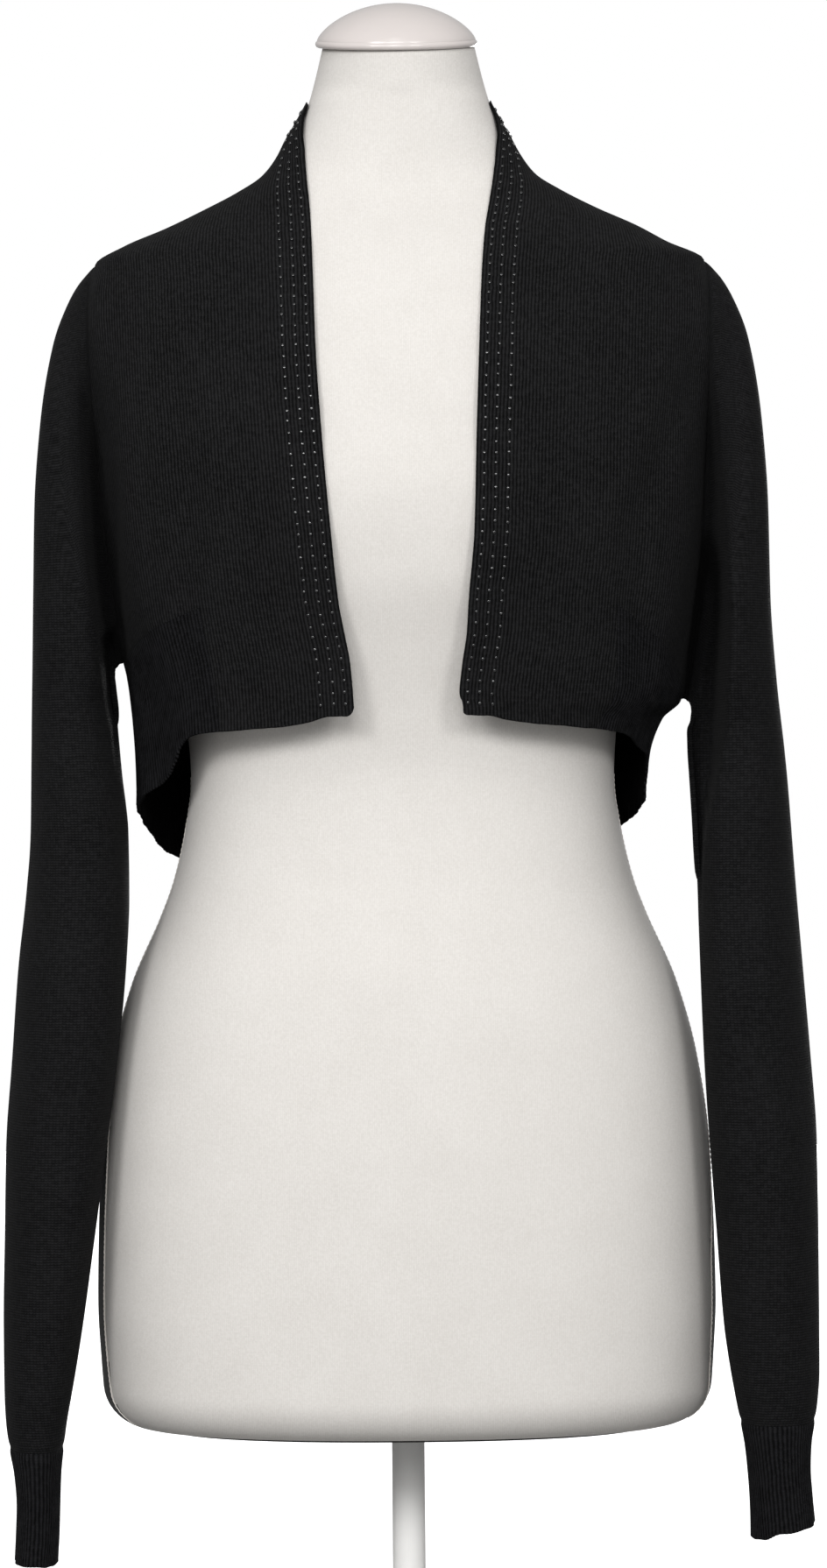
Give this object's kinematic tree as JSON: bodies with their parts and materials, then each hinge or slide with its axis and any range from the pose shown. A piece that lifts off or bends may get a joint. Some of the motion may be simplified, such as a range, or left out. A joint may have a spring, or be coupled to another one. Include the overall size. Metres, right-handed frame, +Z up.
{
  "type": "cropped open-front cardigan on a dress form",
  "caption": "Cropped open-front knit cardigan with long sleeves, ribbed hem and cuffs and beaded front edges, on a limbless covered dress form with a round stand.",
  "frame": {"origin": "centre of the round base plate's underside", "axes": "+X to the wearer's left, +Y to the wearer's back, +Z up; the front faces -Y"},
  "size_m": [0.4448, 0.25, 0.8954],
  "materials": {
    "knit": "fine plain knit, charcoal black, matte",
    "rib_knit": "fine rib knit, charcoal black, matte",
    "cover": "off-white jersey pulled tight over foam",
    "cap": "moulded, glossy, warm white",
    "board": "thin stained board",
    "paint": "white powder coat"
  },
  "bodies": {
    "root": {"front_right": "knit", "front_left": "knit", "front_rib_right": "rib_knit", "front_rib_left": "rib_knit", "back": "knit", "back_rib": "rib_knit", "sleeve_right": "knit", "sleeve_left": "knit", "cuff_right": "rib_knit", "cuff_left": "rib_knit", "form_torso": "cover", "form_neck_cap": "cap", "form_board": "board", "stand_pole": "paint", "stand_base": "paint"}
  },
  "joints": []
}
